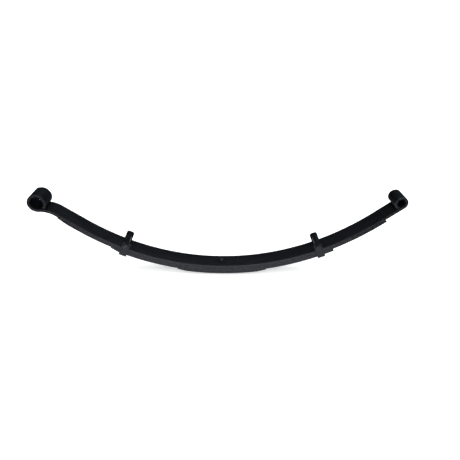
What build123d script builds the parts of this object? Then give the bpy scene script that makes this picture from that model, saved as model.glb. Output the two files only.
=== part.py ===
from build123d import *

import os
from math import acos, asin, cos, degrees, radians, sin, sqrt

# A four-leaf vehicle leaf spring in its free, unloaded shape.
#
# Frame: the origin is on the centre bolt's axis, at the underside of the leaf pack.
# +X points to the rear (smaller) eye, +Y runs across the leaves, along the eyes' axes, +Z is up.
# All sizes are millimetres, all angles are degrees.
#
# The leaves lie on circles about one point, the arch centre, high above the seat.
# An arch angle is measured about it from straight down, positive towards the rear.

# ---- leaf stock ----
leaf_width = 63.5
leaf_thickness = 7.94
short_leaf_thickness = 6.35
edge_radius = 2.0  # rounding along the long edges of the rolled bar

# ---- arch ----
arch_radius = 777.0  # of the main leaf's upper face
front_arch_angle = 34.85  # where the main leaf stops following the arch
rear_arch_angle = 39.3

# ---- front end of the main leaf ----
front_straight = 87.0
front_bend_radius = 76.6  # of the lower face, in the bend that lays the leaf under its eye
front_dip_angle = 3.5  # how far that bend goes past level
front_eye_radius = 20.65  # bore

# ---- rear end of the main leaf ----
rear_straight = 79.0
rear_eye_radius = 12.7  # bore

eye_end_gap = 1.0  # between the rolled end of an eye and the leaf

# ---- ends of the lower leaves ----
second_leaf_setback = 8.0  # its front end stops this far short of the main leaf's bend
second_leaf_rear_run = 15.0  # straight part past the arch
third_leaf_reach = 362.0  # from the centre bolt along X
short_leaf_reach = 148.0
tip_length = 45.0  # ground taper under a leaf's end
tip_share = 0.3  # of the thickness, left at the end

# ---- centre bolt ----
centre_bolt_radius = 4.75
centre_head_radius = 8.0
centre_head_height = 7.5
centre_nut_across_flats = 14.3
centre_nut_height = 8.3
centre_bolt_stand_out = 3.0  # above its nut
centre_hole_clearance = 0.4
clamp_gap = 0.1  # left under the head and the nut, which press on the leaves

# ---- rebound clips ----
clip_setback = 44.0  # from the third leaf's end along X, to the middle of the strap
strap_width = 25.0
strap_thickness = 5.5
strap_side_gap = 1.0
strap_floor_gap = 0.3
strap_bend_radius = 3.0  # inside the U
strap_leg_rise = 26.0  # above the main leaf
strap_end_flat = 12.0  # left between the two rounded corners of a leg's end
rivet_radius = 4.0
rivet_head_radius = 8.0
rivet_head_height = 4.5
rivet_sunk_radius = 7.0  # of its 90 degree head, let into the third leaf
rivet_leaf_clearance = 0.3
clip_bolt_radius = 5.0
clip_bolt_clearance = 0.5
clip_bolt_across_flats = 17.0
clip_bolt_head_height = 6.4
clip_bolt_stand_out = 3.5
clip_nut_height = 8.0
tube_wall = 2.75
tube_end_gap = 0.25
hex_chamfer = 1.0
bolt_chamfer = 1.0

# ---- what follows from those sizes ----
pack_height = 3 * leaf_thickness + short_leaf_thickness
arch_centre = pack_height + arch_radius  # height of the arch centre above the seat
centre_nut_base = (
    arch_centre - sqrt(arch_radius**2 - centre_nut_across_flats**2 / 3) + clamp_gap
)  # its corners clear the curved leaf
centre_bolt_top = centre_nut_base + centre_nut_height + centre_bolt_stand_out
strap_half_gap = leaf_width / 2 + strap_side_gap
strap_half_width = strap_half_gap + strap_thickness
strap_rise = 3 * leaf_thickness + strap_floor_gap + strap_leg_rise  # from the strap's floor
clip_bolt_rise = strap_rise - strap_width / 2
clip_hole_radius = clip_bolt_radius + clip_bolt_clearance
rivet_top = strap_floor_gap + leaf_thickness - rivet_leaf_clearance  # above the strap's floor
from_below = (Align.CENTER, Align.MIN)
centre_hole_radius = centre_bolt_radius + centre_hole_clearance
clip_angle = degrees(asin((third_leaf_reach - clip_setback) / (arch_radius + leaf_thickness)))


def arch_point(radius, angle):
    """The point (x, z) on a circle about the arch centre."""
    a = radians(angle)
    return (radius * sin(a), arch_centre - radius * cos(a))


def along(point, angle, distance):
    """The point (x, z) at a distance from another, in a direction given from +X towards +Z."""
    a = radians(angle)
    return (point[0] + distance * cos(a), point[1] + distance * sin(a))


def roll_angle(eye_radius):
    """How far a leaf rolls round an eye before its end comes near the leaf again."""
    return 360 - degrees(acos((eye_radius - eye_end_gap) / (eye_radius + leaf_thickness)))


def arch_plane(radius, angle):
    """A plane on the arch: its X runs along the leaf to the rear, its Z to the arch centre."""
    x, z = arch_point(radius, angle)
    a = radians(angle)
    return Plane(origin=(x, 0, z), x_dir=(cos(a), 0, sin(a)), z_dir=(-sin(a), 0, cos(a)))


def section_plane(path):
    """The plane of a leaf's cross-section at the start of its path, with X across the leaf."""
    return Plane(origin=path @ 0, x_dir=(0, 1, 0), z_dir=path % 0)


def grind_tip(end, heading, thickness):
    """The corners (x, z) of the wedge ground off the lower face of a leaf's end."""
    under = along(end, heading - 90, thickness / 2)
    start = along(under, heading + 180, tip_length)
    edge = along(under, heading + 90, thickness * (1 - tip_share))
    past = along(edge, heading, thickness)
    low = along(past, heading - 90, 2 * thickness)
    return [start, edge, past, low, along(start, heading - 90, thickness)]


def mirrored(points):
    """The same corners on the front side."""
    return [(-x, z) for x, z in points]


os.makedirs("parts", exist_ok=True)
pieces = []

# ---- main leaf: eye, bend, straight, arch, straight, eye, swept as one bar ----
with BuildPart() as main_leaf:
    middle = arch_radius + leaf_thickness / 2
    front_arch_end = arch_point(middle, -front_arch_angle)
    bend_end = along(front_arch_end, 180 - front_arch_angle, front_straight)
    bend_middle = front_bend_radius + leaf_thickness / 2
    bend_centre = along(bend_end, -90 - front_arch_angle, bend_middle)
    front_roll = front_eye_radius + leaf_thickness / 2
    front_eye = along(bend_centre, 90 + front_dip_angle, bend_middle + front_roll)
    front_turn = roll_angle(front_eye_radius)
    rear_arch_end = arch_point(middle, rear_arch_angle)
    rear_straight_end = along(rear_arch_end, rear_arch_angle, rear_straight)
    rear_roll = rear_eye_radius + leaf_thickness / 2
    rear_eye = along(rear_straight_end, rear_arch_angle + 90, rear_roll)
    rear_turn = roll_angle(rear_eye_radius)
    arch_start = -90 - front_arch_angle
    arch_sweep = front_arch_angle + rear_arch_angle
    with BuildLine(Plane.XZ) as main_path:
        CenterArc(front_eye, front_roll, front_dip_angle - 90 - front_turn, front_turn)
        CenterArc(bend_centre, bend_middle, 90 + front_dip_angle, -front_dip_angle - front_arch_angle)
        Line(bend_end, front_arch_end)
        CenterArc((0, arch_centre), middle, arch_start, arch_sweep)
        Line(rear_arch_end, rear_straight_end)
        CenterArc(rear_eye, rear_roll, rear_arch_angle - 90, rear_turn)
    with BuildSketch(section_plane(main_path.line)):
        RectangleRounded(leaf_width, leaf_thickness, edge_radius)
    sweep()
    Hole(centre_hole_radius)
main_leaf.part.label = "main_leaf"
pieces.append(main_leaf)

# ---- second leaf: follows the main leaf, and its front end is ground to a taper ----
with BuildPart() as second_leaf:
    middle = arch_radius + 1.5 * leaf_thickness
    front_arch_end = arch_point(middle, -front_arch_angle)
    front_run = front_straight - second_leaf_setback
    front_end = along(front_arch_end, 180 - front_arch_angle, front_run)
    rear_arch_end = arch_point(middle, rear_arch_angle)
    rear_end = along(rear_arch_end, rear_arch_angle, second_leaf_rear_run)
    wedge = grind_tip((-front_end[0], front_end[1]), front_arch_angle, leaf_thickness)
    with BuildLine(Plane.XZ) as second_path:
        Line(front_end, front_arch_end)
        CenterArc((0, arch_centre), middle, arch_start, arch_sweep)
        Line(rear_arch_end, rear_end)
    with BuildSketch(section_plane(second_path.line)):
        RectangleRounded(leaf_width, leaf_thickness, edge_radius)
    sweep()
    with BuildSketch(Plane.XZ):
        Polygon(*mirrored(wedge), align=None)
    extrude(amount=leaf_width, both=True, mode=Mode.SUBTRACT)
    Hole(centre_hole_radius)
second_leaf.part.label = "second_leaf"
pieces.append(second_leaf)

# ---- third leaf: carries both clips on countersunk rivets ----
with BuildPart() as third_leaf:
    middle = arch_radius + 2.5 * leaf_thickness
    reach = degrees(asin(third_leaf_reach / middle))
    wedge = grind_tip(arch_point(middle, reach), reach, leaf_thickness)
    rivet_seats = [arch_plane(arch_radius + 2 * leaf_thickness, a) for a in (-clip_angle, clip_angle)]
    with BuildLine(Plane.XZ) as third_path:
        CenterArc((0, arch_centre), middle, -90 - reach, 2 * reach)
    with BuildSketch(section_plane(third_path.line)):
        RectangleRounded(leaf_width, leaf_thickness, edge_radius)
    sweep()
    with BuildSketch(Plane.XZ):
        Polygon(*mirrored(wedge), align=None)
    extrude(amount=leaf_width, both=True, mode=Mode.SUBTRACT)
    Hole(centre_hole_radius)
    with Locations(*rivet_seats):
        CounterSinkHole(
            radius=rivet_radius + rivet_leaf_clearance,
            counter_sink_radius=rivet_sunk_radius + rivet_leaf_clearance,
            depth=2 * leaf_thickness,
            counter_sink_angle=90,
        )
third_leaf.part.label = "third_leaf"
pieces.append(third_leaf)

# ---- short leaf: both ends are ground to a taper ----
with BuildPart() as short_leaf:
    middle = arch_radius + 3 * leaf_thickness + short_leaf_thickness / 2
    reach = degrees(asin(short_leaf_reach / middle))
    wedge = grind_tip(arch_point(middle, reach), reach, short_leaf_thickness)
    with BuildLine(Plane.XZ) as short_path:
        CenterArc((0, arch_centre), middle, -90 - reach, 2 * reach)
    with BuildSketch(section_plane(short_path.line)):
        RectangleRounded(leaf_width, short_leaf_thickness, edge_radius)
    sweep()
    with BuildSketch(Plane.XZ):
        Polygon(*wedge, align=None)
        Polygon(*mirrored(wedge), align=None)
    extrude(amount=leaf_width, both=True, mode=Mode.SUBTRACT)
    Hole(centre_hole_radius)
short_leaf.part.label = "short_leaf"
pieces.append(short_leaf)

# ---- centre bolt: its round head, below the pack, locates the spring on the axle ----
with BuildPart() as centre_bolt:
    with BuildSketch(Plane.XY.offset(-clamp_gap)):
        Circle(centre_head_radius)
    extrude(amount=-centre_head_height)
    chamfer(centre_bolt.edges().sort_by(Axis.Z)[0], bolt_chamfer)
    with BuildSketch(Plane.XY.offset(-clamp_gap)):
        Circle(centre_bolt_radius)
    extrude(amount=centre_bolt_top + clamp_gap)
    chamfer(centre_bolt.edges().sort_by(Axis.Z)[-1], bolt_chamfer)
centre_bolt.part.label = "centre_bolt"
pieces.append(centre_bolt)

with BuildPart() as centre_bolt_nut:
    with BuildSketch(Plane.XY.offset(centre_nut_base)):
        RegularPolygon(centre_nut_across_flats / 2, 6, major_radius=False)
        Circle(centre_bolt_radius, mode=Mode.SUBTRACT)
    extrude(amount=centre_nut_height)
    chamfer(centre_bolt_nut.faces().sort_by(Axis.Z)[-1].outer_wire().edges(), hex_chamfer)
centre_bolt_nut.part.label = "centre_bolt_nut"
pieces.append(centre_bolt_nut)

# ---- rebound clips: a U strap under the third leaf, closed above by a bolt in a spacer tube ----
for end, angle in (("front", -clip_angle), ("rear", clip_angle)):
    seat = arch_plane(arch_radius + 3 * leaf_thickness + strap_floor_gap, angle)
    across = Plane(origin=seat.origin, x_dir=(0, 1, 0), z_dir=seat.x_dir)
    upright = Plane(origin=seat.origin, x_dir=seat.x_dir, z_dir=(0, -1, 0))
    bolt_centre = seat.origin + seat.z_dir * clip_bolt_rise
    bolt_plane = Plane(origin=bolt_centre, x_dir=seat.x_dir, z_dir=(0, -1, 0))

    with BuildPart() as strap:
        with BuildSketch(across) as outside:
            with Locations((0, -strap_thickness)):
                Rectangle(2 * strap_half_width, strap_rise + strap_thickness, align=from_below)
            fillet(outside.vertices().group_by(Axis.Y)[0], strap_bend_radius + strap_thickness)
        extrude(amount=strap_width / 2, both=True)
        with BuildSketch(across) as inside:
            Rectangle(2 * strap_half_gap, 2 * strap_rise, align=from_below)
            fillet(inside.vertices().group_by(Axis.Y)[0], strap_bend_radius)
        extrude(amount=strap_width, both=True, mode=Mode.SUBTRACT)
        leg_corners = strap.edges().filter_by(Axis.Y).sort_by(Axis(seat.origin, seat.z_dir))[-4:]
        fillet(leg_corners, (strap_width - strap_end_flat) / 2)
        with BuildSketch(bolt_plane):
            Circle(clip_hole_radius)
        extrude(amount=2 * strap_half_width, both=True, mode=Mode.SUBTRACT)
        with BuildSketch(seat):
            Circle(rivet_radius)
        extrude(amount=-2 * strap_thickness, mode=Mode.SUBTRACT)
    strap.part.label = end + "_clip_strap"

    with BuildPart() as rivet:
        with BuildSketch(upright):
            with BuildLine():
                dome = ThreePointArc(
                    (0, -strap_thickness - rivet_head_height),
                    (0.72 * rivet_head_radius, -strap_thickness - 0.68 * rivet_head_height),
                    (rivet_head_radius, -strap_thickness),
                )
                Polyline(
                    dome @ 1,
                    (rivet_radius, -strap_thickness),
                    (rivet_radius, rivet_top - rivet_sunk_radius + rivet_radius),
                    (rivet_sunk_radius, rivet_top),
                    (0, rivet_top),
                    dome @ 0,
                )
            make_face()
        revolve(axis=Axis(seat.origin, seat.z_dir))
    rivet.part.label = end + "_clip_rivet"

    with BuildPart() as bolt:
        with BuildSketch(bolt_plane.offset(strap_half_width)):
            RegularPolygon(clip_bolt_across_flats / 2, 6, major_radius=False)
        extrude(amount=clip_bolt_head_height)
        chamfer(bolt.faces().sort_by(Axis.Y)[0].edges(), hex_chamfer)
        with BuildSketch(bolt_plane.offset(strap_half_width)):
            Circle(clip_bolt_radius)
        extrude(amount=-2 * strap_half_width - clip_nut_height - clip_bolt_stand_out)
        chamfer(bolt.edges().sort_by(Axis.Y)[-1], bolt_chamfer)
    bolt.part.label = end + "_clip_bolt"

    with BuildPart() as spacer_tube:
        with BuildSketch(bolt_plane):
            Circle(clip_hole_radius + tube_wall)
            Circle(clip_hole_radius, mode=Mode.SUBTRACT)
        extrude(amount=strap_half_gap - tube_end_gap, both=True)
    spacer_tube.part.label = end + "_clip_spacer_tube"

    with BuildPart() as nut:
        with BuildSketch(bolt_plane.offset(-strap_half_width)):
            RegularPolygon(clip_bolt_across_flats / 2, 6, major_radius=False)
            Circle(clip_bolt_radius, mode=Mode.SUBTRACT)
        extrude(amount=-clip_nut_height)
        chamfer(nut.faces().sort_by(Axis.Y)[-1].outer_wire().edges(), hex_chamfer)
    nut.part.label = end + "_clip_nut"

    pieces += [strap, rivet, bolt, spacer_tube, nut]

for piece in pieces:
    export_step(piece.part, f"parts/{piece.part.label}.step")
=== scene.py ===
# %% [markdown]
# A leaf spring from under a light truck: four curved steel bars held together by one centre bolt
# and by two rebound clips. The exact CAD model is loaded first and is never changed. Everything
# here is in metres and in the frame of that model: X runs along the spring from the large front
# eye to the small rear eye, Y runs across the leaves, and Z points up from the axle seat.

# %% Load the exact model
import bpy
import bmesh
from math import acos, asin, cos, pi, radians, sin
from mathutils import Matrix, Vector


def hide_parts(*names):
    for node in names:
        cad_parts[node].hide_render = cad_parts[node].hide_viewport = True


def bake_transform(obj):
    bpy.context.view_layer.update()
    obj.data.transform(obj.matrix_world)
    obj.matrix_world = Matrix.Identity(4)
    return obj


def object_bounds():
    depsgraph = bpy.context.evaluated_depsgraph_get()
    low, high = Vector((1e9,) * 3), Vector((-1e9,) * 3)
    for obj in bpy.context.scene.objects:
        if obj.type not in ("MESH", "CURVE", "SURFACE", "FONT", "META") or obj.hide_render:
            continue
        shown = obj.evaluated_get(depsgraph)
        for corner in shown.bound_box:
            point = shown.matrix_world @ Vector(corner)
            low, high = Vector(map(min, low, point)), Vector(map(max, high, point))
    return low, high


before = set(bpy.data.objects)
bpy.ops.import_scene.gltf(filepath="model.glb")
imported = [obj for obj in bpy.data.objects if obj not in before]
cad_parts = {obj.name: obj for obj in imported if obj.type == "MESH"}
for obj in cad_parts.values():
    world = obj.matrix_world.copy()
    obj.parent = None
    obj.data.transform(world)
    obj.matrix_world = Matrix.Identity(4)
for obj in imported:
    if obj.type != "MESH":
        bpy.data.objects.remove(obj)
cad_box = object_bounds()
print("CAD box in metres:", [[round(value, 4) for value in corner] for corner in cad_box])

# %% [markdown]
# The camera stands in front of the spring and a little above it, so that each leaf shows its top
# and its front edge. It could be aimed with a Track To constraint, but its three axes are written
# out here from an elevation and a small roll, which keeps the aim exact and easy to change.

# %% Camera
elevation = radians(30)
roll = radians(0.57)
camera_place = Vector((-0.0206, -1.1834, 0.8336))
lens_over_sensor = 0.9159
picture_shift = 0.026

right = Vector((cos(roll), 0, sin(roll)))
up = Vector((-sin(roll) * cos(elevation), sin(elevation), cos(roll) * cos(elevation)))
towards_camera = right.cross(up)
axes = Matrix((right, up, towards_camera)).transposed()
camera_data = bpy.data.cameras.new("camera")
camera_data.lens = lens_over_sensor * camera_data.sensor_width
camera_data.shift_x = picture_shift
camera = bpy.data.objects.new("camera", camera_data)
camera.matrix_world = Matrix.Translation(camera_place) @ axes.to_4x4()
bpy.context.scene.collection.objects.link(camera)
bpy.context.scene.camera = camera
print("camera distance from the seat:", round(camera_place.length, 3), "m")

# %% [markdown]
# Black paint shows its shape only by what it mirrors. The light is the plain one of a product
# studio: a very soft lamp from above whitens the floor, and the surroundings are nearly dark, so
# the upward faces stay black. They fade from almost black on the left to a dim blue on the right,
# which leaves the rear arm the darker one. The camera alone sees a white backdrop in their place.
# White cards lie on the floor in front of the spring and behind it, and the upright edges of the
# leaves mirror them. The cards are seen by reflections only.

# %% Studio light
scene = bpy.context.scene
scene.view_settings.view_transform = "Standard"
surroundings = bpy.data.worlds.new("surroundings")
surroundings.use_nodes = True
sky = surroundings.node_tree
almost_black = (0.008, 0.009, 0.012, 1)
dim_blue = (0.034, 0.048, 0.072, 1)
fade_reach = 0.3
dim = sky.nodes["Background"]
direction = sky.nodes.new("ShaderNodeTexCoord")
direction_parts = sky.nodes.new("ShaderNodeSeparateXYZ")
sky.links.new(direction.outputs["Generated"], direction_parts.inputs["Vector"])
sideways = sky.nodes.new("ShaderNodeMapRange")
sideways.inputs["From Min"].default_value = -fade_reach
sideways.inputs["From Max"].default_value = fade_reach
sky.links.new(direction_parts.outputs["X"], sideways.inputs["Value"])
fade = sky.nodes.new("ShaderNodeMix")
fade.data_type = "RGBA"
fade.inputs[6].default_value = almost_black
fade.inputs[7].default_value = dim_blue
sky.links.new(sideways.outputs["Result"], fade.inputs["Factor"])
sky.links.new(fade.outputs[2], dim.inputs["Color"])
backdrop = sky.nodes.new("ShaderNodeBackground")
backdrop.inputs["Color"].default_value = (1, 1, 1, 1)
seen = sky.nodes.new("ShaderNodeLightPath")
either = sky.nodes.new("ShaderNodeMixShader")
sky.links.new(seen.outputs["Is Camera Ray"], either.inputs["Fac"])
sky.links.new(dim.outputs["Background"], either.inputs[1])
sky.links.new(backdrop.outputs["Background"], either.inputs[2])
sky.links.new(either.outputs["Shader"], sky.nodes["World Output"].inputs["Surface"])
scene.world = surroundings

ceiling_data = bpy.data.lights.new("ceiling", "SUN")
ceiling_data.energy = 4.6
ceiling_data.angle = radians(100)
ceiling = bpy.data.objects.new("ceiling", ceiling_data)
ceiling.rotation_euler = (radians(25), 0, radians(10))
scene.collection.objects.link(ceiling)

floor_height = cad_box[0][2] - 0.0005
card_middle = -0.05
card_length = 1.05


def bounce_card(name, near, far, brightness):
    """A glowing card on the floor, from y = near to y = far, that only reflections see."""
    bpy.ops.object.select_all(action="DESELECT")
    middle = (card_middle, (near + far) / 2, floor_height + 0.0002)
    bpy.ops.mesh.primitive_plane_add(size=1, location=middle)
    card = bpy.context.object
    card.name = name
    card.scale = (card_length, far - near, 1)
    card.visible_camera = False
    card.visible_diffuse = False
    card.visible_shadow = False
    glow = bpy.data.materials.new(name + "_glow")
    glow.use_nodes = True
    shader = glow.node_tree.nodes["Principled BSDF"]
    shader.inputs["Base Color"].default_value = (0, 0, 0, 1)
    shader.inputs["Emission Color"].default_value = (0.93, 0.95, 1.06, 1)
    shader.inputs["Emission Strength"].default_value = brightness
    card.data.materials.append(glow)


bounce_card("front_card", near=-0.9, far=-0.04, brightness=1.35)
bounce_card("back_card", near=0.04, far=0.34, brightness=1.0)

# %% [markdown]
# The floor is one large pale plane just under the spring. It glows a little, like a lit table, so
# the shadow under the spring stays faint. It is stage, not part of the object.

# %% Floor


def srgb(text):
    """A colour written as six hexadecimal digits, turned into the linear numbers shaders use."""
    parts = [int(text[i : i + 2], 16) / 255 for i in (0, 2, 4)]
    return [p / 12.92 if p <= 0.04045 else ((p + 0.055) / 1.055) ** 2.4 for p in parts] + [1]


def add_node(tree, kind, links=None, **settings):
    """Adds a shader node, sets its sockets and properties by name, and links its inputs."""
    node = tree.nodes.new(kind)
    for name, value in settings.items():
        socket = name.replace("_", " ").title()
        if socket in node.inputs:
            node.inputs[socket].default_value = value
        else:
            setattr(node, name, value)
    for name, source in (links or {}).items():
        tree.links.new(source, node.inputs[name])
    return node


floor_white = bpy.data.materials.new("matt_white_floor")
floor_white.use_nodes = True
floor_shader = floor_white.node_tree.nodes["Principled BSDF"]
floor_shader.inputs["Base Color"].default_value = srgb("EEEEEE")
floor_shader.inputs["Roughness"].default_value = 0.9
floor_shader.inputs["Emission Color"].default_value = (1, 1, 1, 1)
floor_shader.inputs["Emission Strength"].default_value = 0.55
floor_half_size = 110
bpy.ops.object.select_all(action="DESELECT")
bpy.ops.mesh.primitive_plane_add(size=2 * floor_half_size, location=(0, 0, floor_height))
floor = bpy.context.object
floor.name = "floor"
floor.visible_glossy = False
floor.data.materials.append(floor_white)

# %% [markdown]
# Chassis paint on hot-rolled spring steel: satin black with a slightly blue cast. The bar under
# it is not smooth. Rolling leaves shallow scale marks some millimetres wide, and the sprayed
# paint dries with a fine orange peel. It also lies thin on the tops of the scale and goes greyer
# there. On the bar's rounded edges a paler band stands partly for paint worn thin and partly for
# a painted highlight along the edges. A flat black would look like plastic, so the colour,
# the gloss and the relief each get a noise at the size that the real mark has.

# %% Satin black paint
millimetre = 0.001


def noise(tree, place, size, detail=3, stretch=(1, 1, 1)):
    """A noise whose marks are about this many millimetres across, before any stretch."""
    scaled = add_node(tree, "ShaderNodeMapping", {"Vector": place}, scale=stretch)
    return add_node(
        tree,
        "ShaderNodeTexNoise",
        {"Vector": scaled.outputs["Vector"]},
        scale=1 / (size * millimetre),
        detail=detail,
    ).outputs["Fac"]


def remap(tree, value, low, high, to_low, to_high):
    """Turns the range low to high into another, and holds the ends."""
    return add_node(
        tree,
        "ShaderNodeMapRange",
        {"Value": value},
        from_min=low,
        from_max=high,
        to_min=to_low,
        to_max=to_high,
    ).outputs["Result"]


def mix(tree, share, under, over):
    """Lays one colour over another. Either may be a colour or the output of a node."""
    node = add_node(tree, "ShaderNodeMix", data_type="RGBA")
    tree.links.new(share, node.inputs["Factor"])
    for socket, colour in ((node.inputs[6], under), (node.inputs[7], over)):
        if isinstance(colour, list):
            socket.default_value = colour
        else:
            tree.links.new(colour, socket)
    return node.outputs[2]


def relief(tree, height, depth, strength, below=None):
    """Turns a noise into a bump of this depth in millimetres, on top of another bump."""
    links = {"Height": height}
    if below:
        links["Normal"] = below
    return add_node(
        tree, "ShaderNodeBump", links, strength=strength, distance=depth * millimetre
    ).outputs["Normal"]


def satin_black(name, black, thin, gloss, edge=None):
    """Sprayed satin black over rolled steel. gloss is its lowest and highest roughness, and edge,
    if the piece is a leaf, is how far from the middle of its width the paler edge band begins:
    partly paint worn thin, partly a painted highlight."""
    material = bpy.data.materials.new(name)
    material.use_nodes = True
    tree = material.node_tree
    shader = tree.nodes["Principled BSDF"]
    shader.inputs["Specular IOR Level"].default_value = 0.3
    place = add_node(tree, "ShaderNodeTexCoord").outputs["Object"]
    patches = noise(tree, place, size=45, stretch=(0.4, 1, 1))
    scale_marks = noise(tree, place, size=6, detail=5)
    peel = noise(tree, place, size=1.1, detail=2)
    thin_spots = remap(tree, noise(tree, place, size=2.2, detail=4), 0.6, 0.72, 0, 0.4)
    colour = mix(tree, remap(tree, patches, 0.35, 0.65, 0, 1), srgb(black), srgb(thin))
    colour = mix(tree, thin_spots, colour, srgb("1C1E22"))
    # A paler band along both rounded edges of a leaf: partly paint worn thin there, partly a painted
    # highlight.
    if edge:
        across = add_node(tree, "ShaderNodeSeparateXYZ", {"Vector": place}).outputs["Y"]
        reach = add_node(tree, "ShaderNodeMath", operation="ABSOLUTE")
        tree.links.new(across, reach.inputs[0])
        edge_wear_and_highlight = remap(tree, reach.outputs[0], edge, edge + 1.4 * millimetre, 0, 1)
        broken_wear_and_highlight = add_node(tree, "ShaderNodeMath", operation="MULTIPLY")
        tree.links.new(edge_wear_and_highlight, broken_wear_and_highlight.inputs[0])
        tree.links.new(remap(tree, scale_marks, 0.4, 0.62, 0, 0.45), broken_wear_and_highlight.inputs[1])
        colour = mix(tree, broken_wear_and_highlight.outputs[0], colour, srgb("303236"))
    tree.links.new(colour, shader.inputs["Base Color"])
    tree.links.new(remap(tree, scale_marks, 0.35, 0.65, *gloss), shader.inputs["Roughness"])
    scale_relief = relief(tree, scale_marks, depth=0.45, strength=0.5)
    tree.links.new(
        relief(tree, peel, depth=0.12, strength=0.4, below=scale_relief), shader.inputs["Normal"]
    )
    return material


# Where the paler edge band starts: partly worn paint, partly a painted highlight.
edge_wear_and_highlight_start = 30 * millimetre
leaf_paint = satin_black(
    "satin_black_on_rolled_steel", "040507", "0B0D10", gloss=(0.33, 0.52), edge=edge_wear_and_highlight_start
)
clip_paint = satin_black("satin_black_on_pressed_strap", "050608", "0D0F12", gloss=(0.32, 0.46))
print("paints:", leaf_paint.name, clip_paint.name)

# %% [markdown]
# The bolts, nuts and rivets are bought black: phosphated steel with a thin film of oil or paint.
# It stays a metal, dark and a little rough, with fine forging marks and grey where a spanner or
# a die has rubbed it. A noise picks those rubbed places, and there the coat is paler and smoother.

# %% Blackened steel


def blackened_steel(name):
    """Phosphated steel: dark grey metal with rubbed places."""
    material = bpy.data.materials.new(name)
    material.use_nodes = True
    tree = material.node_tree
    shader = tree.nodes["Principled BSDF"]
    shader.inputs["Metallic"].default_value = 0.75
    place = add_node(tree, "ShaderNodeTexCoord").outputs["Object"]
    rubbed = add_node(
        tree, "ShaderNodeTexNoise", {"Vector": place}, scale=1 / (4 * millimetre), detail=5
    )
    coat = add_node(tree, "ShaderNodeValToRGB", {"Fac": rubbed.outputs["Fac"]})
    coat.color_ramp.elements[0].position = 0.45
    coat.color_ramp.elements[0].color = srgb("202225")
    coat.color_ramp.elements[1].position = 0.75
    coat.color_ramp.elements[1].color = srgb("4A4C50")
    tree.links.new(coat.outputs["Color"], shader.inputs["Base Color"])
    gloss = add_node(
        tree,
        "ShaderNodeMapRange",
        {"Value": rubbed.outputs["Fac"]},
        from_min=0.3,
        from_max=0.8,
        to_min=0.55,
        to_max=0.32,
    )
    tree.links.new(gloss.outputs["Result"], shader.inputs["Roughness"])
    forging = add_node(
        tree, "ShaderNodeTexNoise", {"Vector": place}, scale=1 / (1.2 * millimetre), detail=3
    )
    bump = add_node(
        tree,
        "ShaderNodeBump",
        {"Height": forging.outputs["Fac"]},
        strength=0.4,
        distance=0.1 * millimetre,
    )
    tree.links.new(bump.outputs["Normal"], shader.inputs["Normal"])
    return material


fastener_finish = blackened_steel("phosphated_steel")

# %% [markdown]
# The sizes of the spring, as the CAD model has them. The leaves lie on circles about one point
# high above the seat, so a leaf is a bar turned about that point, with what its ends need added.

# %% Sizes
leaf_width = 63.5 * millimetre
leaf_thickness = 7.94 * millimetre
short_leaf_thickness = 6.35 * millimetre
edge_radius = 2 * millimetre
edge_steps = 5
arch_radius = 777 * millimetre
front_arch_angle = radians(34.85)
rear_arch_angle = radians(39.3)
pack_height = 3 * leaf_thickness + short_leaf_thickness
arch_centre = Vector((0, 0, pack_height + arch_radius))
mesh_step = 7 * millimetre
print("height of the pack at the seat:", round(pack_height / millimetre, 1), "mm")

# %% [markdown]
# A leaf is hot-rolled flat bar: a rectangle with rounded long edges, the same all along. It could
# be a curve with a bevel profile, but a bar made as a smith makes it, from its section outwards,
# leaves clean rows of faces across the leaf, and those bend well later. Each leaf is made in two
# halves that meet under the centre bolt, because each arm of the spring bends on its own.
# A section starts as a plane, and its four corners are rounded by a vertex bevel.

# %% Start a bar


def start_bar(name, middle_radius, thickness):
    """One rounded cross-section, standing across the leaf over the seat, ready to be drawn out."""
    bpy.ops.object.select_all(action="DESELECT")
    bpy.ops.mesh.primitive_plane_add(size=1, location=arch_centre - Vector((0, 0, middle_radius)))
    bar = bpy.context.object
    bar.name = name
    bar.scale = (thickness, leaf_width, 1)
    bar.rotation_euler = (0, pi / 2, 0)
    bpy.ops.object.transform_apply(location=True, rotation=True, scale=True)
    bpy.ops.object.mode_set(mode="EDIT")
    bpy.ops.mesh.select_all(action="SELECT")
    bpy.ops.mesh.bevel(offset=edge_radius, segments=edge_steps, affect="VERTICES")
    return bar


def turn(centre, radius, angle):
    """Draws the selected end face out round a centre. A positive angle turns it to the front."""
    steps = max(6, round(radius * abs(angle) / mesh_step), round(abs(angle) / radians(5)))
    bpy.ops.mesh.spin(steps=steps, angle=angle, center=centre, axis=(0, -1, 0))


def draw_out(step, times):
    """Draws the selected end face out straight, in equal steps."""
    for _ in range(times):
        bpy.ops.mesh.extrude_region_move(TRANSFORM_OT_translate={"value": step})


def heading(side, angle):
    """The direction in which a leaf runs where its arch angle is this. side is -1 in front."""
    return Vector((side * cos(angle), 0, sin(angle)))


def upwards(side, angle):
    """The direction square to the leaf there, towards the arch centre."""
    return Vector((-side * sin(angle), 0, cos(angle)))


def on_arch(side, radius, angle):
    """A point of the circle with this radius about the arch centre."""
    return arch_centre - radius * upwards(side, angle)


# %% [markdown]
# The finished halves need the same last steps: normals outwards, the sharp corners of the cut end
# eased a little, as the deburred bar has them, and smooth shading except at real corners.

# %% Finish a bar
burr = 0.4 * millimetre
flat_enough = 0.01 * millimetre


def select_end(bar, point, direction):
    """Selects the edges round the cut end that lies in the plane through a point."""
    mesh = bmesh.from_edit_mesh(bar.data)
    for face in mesh.faces:
        face.select_set(False)
    for edge in mesh.edges:
        edge.select_set(all(abs((v.co - point).dot(direction)) < flat_enough for v in edge.verts))
    mesh.select_flush_mode()
    bmesh.update_edit_mesh(bar.data)


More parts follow.
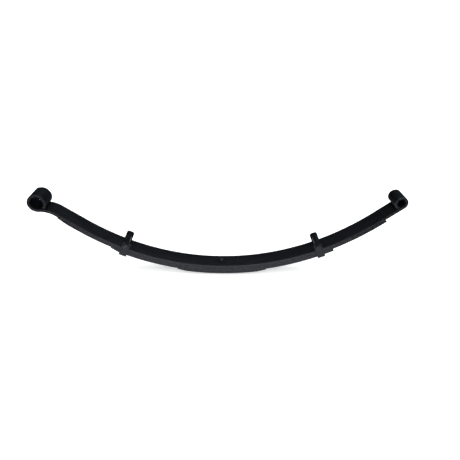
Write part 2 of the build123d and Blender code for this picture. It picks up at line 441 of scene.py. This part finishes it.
def finish_bar(bar, material):
    """Leaves edit mode and gives the bar its paint."""
    bpy.ops.mesh.select_all(action="SELECT")
    bpy.ops.mesh.remove_doubles(threshold=0.001 * millimetre)
    bpy.ops.mesh.normals_make_consistent(inside=False)
    bpy.ops.object.mode_set(mode="OBJECT")
    bpy.ops.object.shade_smooth_by_angle(angle=radians(32))
    bar.data.materials.append(material)
    print(bar.name, len(bar.data.polygons), "faces")
    return bar


# %% [markdown]
# The main leaf carries the eyes. Its front arm leaves the arch, runs straight, bends down until
# it lies level under its eye, and is then rolled up into the large bore. The rear arm runs
# straight into a smaller roll. Each roll stops just before the end of the bar meets the leaf.

# %% Main leaf
front_straight = 87 * millimetre
front_bend_radius = 76.6 * millimetre
front_dip = radians(3.5)
front_eye_radius = 20.65 * millimetre
rear_straight = 79 * millimetre
rear_eye_radius = 12.7 * millimetre
eye_end_gap = 1 * millimetre
straight_steps = 12
main_middle = arch_radius + leaf_thickness / 2


def roll_turn(eye_radius):
    """How far the bar rolls round an eye of this bore."""
    return 2 * pi - acos((eye_radius - eye_end_gap) / (eye_radius + leaf_thickness))


front_half = start_bar("main_leaf_front", main_middle, leaf_thickness)
turn(arch_centre, main_middle, front_arch_angle)
draw_out(heading(-1, front_arch_angle) * front_straight / straight_steps, straight_steps)
bend_end = on_arch(-1, main_middle, front_arch_angle) + heading(-1, front_arch_angle) * front_straight
bend_middle = front_bend_radius + leaf_thickness / 2
bend_centre = bend_end - upwards(-1, front_arch_angle) * bend_middle
turn(bend_centre, bend_middle, -front_arch_angle - front_dip)
front_roll = front_eye_radius + leaf_thickness / 2
front_eye = bend_centre + upwards(-1, -front_dip) * (bend_middle + front_roll)
turn(front_eye, front_roll, roll_turn(front_eye_radius))
finish_bar(front_half, leaf_paint)

rear_half = start_bar("main_leaf_rear", main_middle, leaf_thickness)
turn(arch_centre, main_middle, -rear_arch_angle)
draw_out(heading(1, rear_arch_angle) * rear_straight / straight_steps, straight_steps)
roll_start = on_arch(1, main_middle, rear_arch_angle) + heading(1, rear_arch_angle) * rear_straight
rear_roll = rear_eye_radius + leaf_thickness / 2
rear_eye = roll_start + upwards(1, rear_arch_angle) * rear_roll
turn(rear_eye, rear_roll, -roll_turn(rear_eye_radius))
finish_bar(rear_half, leaf_paint)
print("eyes:", [round(v, 4) for v in front_eye], [round(v, 4) for v in rear_eye])
halves = {"main_leaf": (front_half, rear_half)}

# %% [markdown]
# The leaves below it are plain bars cut to length. Where an end is ground to a taper, so that it
# slides under the leaf above without digging in, a bisect takes the wedge off its lower face.

# %% Lower leaves
tip_length = 45 * millimetre
tip_share = 0.3
second_leaf_setback = 8 * millimetre
second_leaf_rear_run = 15 * millimetre
third_leaf_reach = 362 * millimetre
short_leaf_reach = 148 * millimetre


def grind(end, side, angle, thickness):
    """Cuts the wedge off the lower face of a leaf's end, and closes the cut."""
    run = heading(side, angle)
    rise = upwards(side, angle)
    start = end - rise * thickness / 2 - run * tip_length
    slope = run * thickness * (1 - tip_share) - rise * tip_length
    bpy.ops.mesh.select_all(action="SELECT")
    bpy.ops.mesh.bisect(
        plane_co=start,
        plane_no=slope.normalized(),
        use_fill=True,
        clear_outer=True,
        threshold=0.0001 * millimetre,
    )


def lower_half(name, middle, thickness, side, angle, run=0, ground=True):
    """One arm of a leaf without eyes: its arch, a straight run if it has one, and its cut end."""
    half = start_bar(name, middle, thickness)
    turn(arch_centre, middle, -side * angle)
    if run:
        steps = max(2, round(run / mesh_step))
        draw_out(heading(side, angle) * run / steps, steps)
    end = on_arch(side, middle, angle) + heading(side, angle) * run
    if ground:
        grind(end, side, angle, thickness)
    select_end(half, end, heading(side, angle))
    bpy.ops.mesh.bevel(offset=burr, segments=2, clamp_overlap=True)
    return finish_bar(half, leaf_paint)


second_middle = arch_radius + 1.5 * leaf_thickness
third_middle = arch_radius + 2.5 * leaf_thickness
short_middle = arch_radius + 3 * leaf_thickness + short_leaf_thickness / 2
third_angle = asin(third_leaf_reach / third_middle)
short_angle = asin(short_leaf_reach / short_middle)
front_run = front_straight - second_leaf_setback
halves["second_leaf"] = (
    lower_half("second_leaf_front", second_middle, leaf_thickness, -1, front_arch_angle, front_run),
    lower_half(
        "second_leaf_rear",
        second_middle,
        leaf_thickness,
        1,
        rear_arch_angle,
        second_leaf_rear_run,
        ground=False,
    ),
)
halves["third_leaf"] = (
    lower_half("third_leaf_front", third_middle, leaf_thickness, -1, third_angle),
    lower_half("third_leaf_rear", third_middle, leaf_thickness, 1, third_angle, ground=False),
)
halves["short_leaf"] = (
    lower_half("short_leaf_front", short_middle, short_leaf_thickness, -1, short_angle),
    lower_half("short_leaf_rear", short_middle, short_leaf_thickness, 1, short_angle),
)

# %% [markdown]
# Under load the seat rises and the arms flatten while the eyes stay where they are. Here the halves
# are not bent: each has its placement written into its mesh, and the CAD leaf it stands in for is
# hidden.

# %% Put the leaves in place
eyes = ((front_eye, front_eye_radius), (rear_eye, rear_eye_radius))
for leaf, pair in halves.items():
    for half, (eye, bore) in zip(pair, eyes):
        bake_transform(half)
        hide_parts(leaf)

# %% [markdown]
# The clips, bolts, nuts, tubes and rivets are exact already, so the CAD pieces are kept and only
# get their finish. The strap and the tube are sprayed with the spring, the fasteners are not.

# %% Finish the kept pieces
for node_name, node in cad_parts.items():
    if node_name in halves:
        continue
    sprayed = node_name.endswith(("strap", "tube"))
    for material_slot in node.material_slots:
        material_slot.material = clip_paint if sprayed else fastener_finish
    print(node_name, "sprayed" if sprayed else "phosphated")
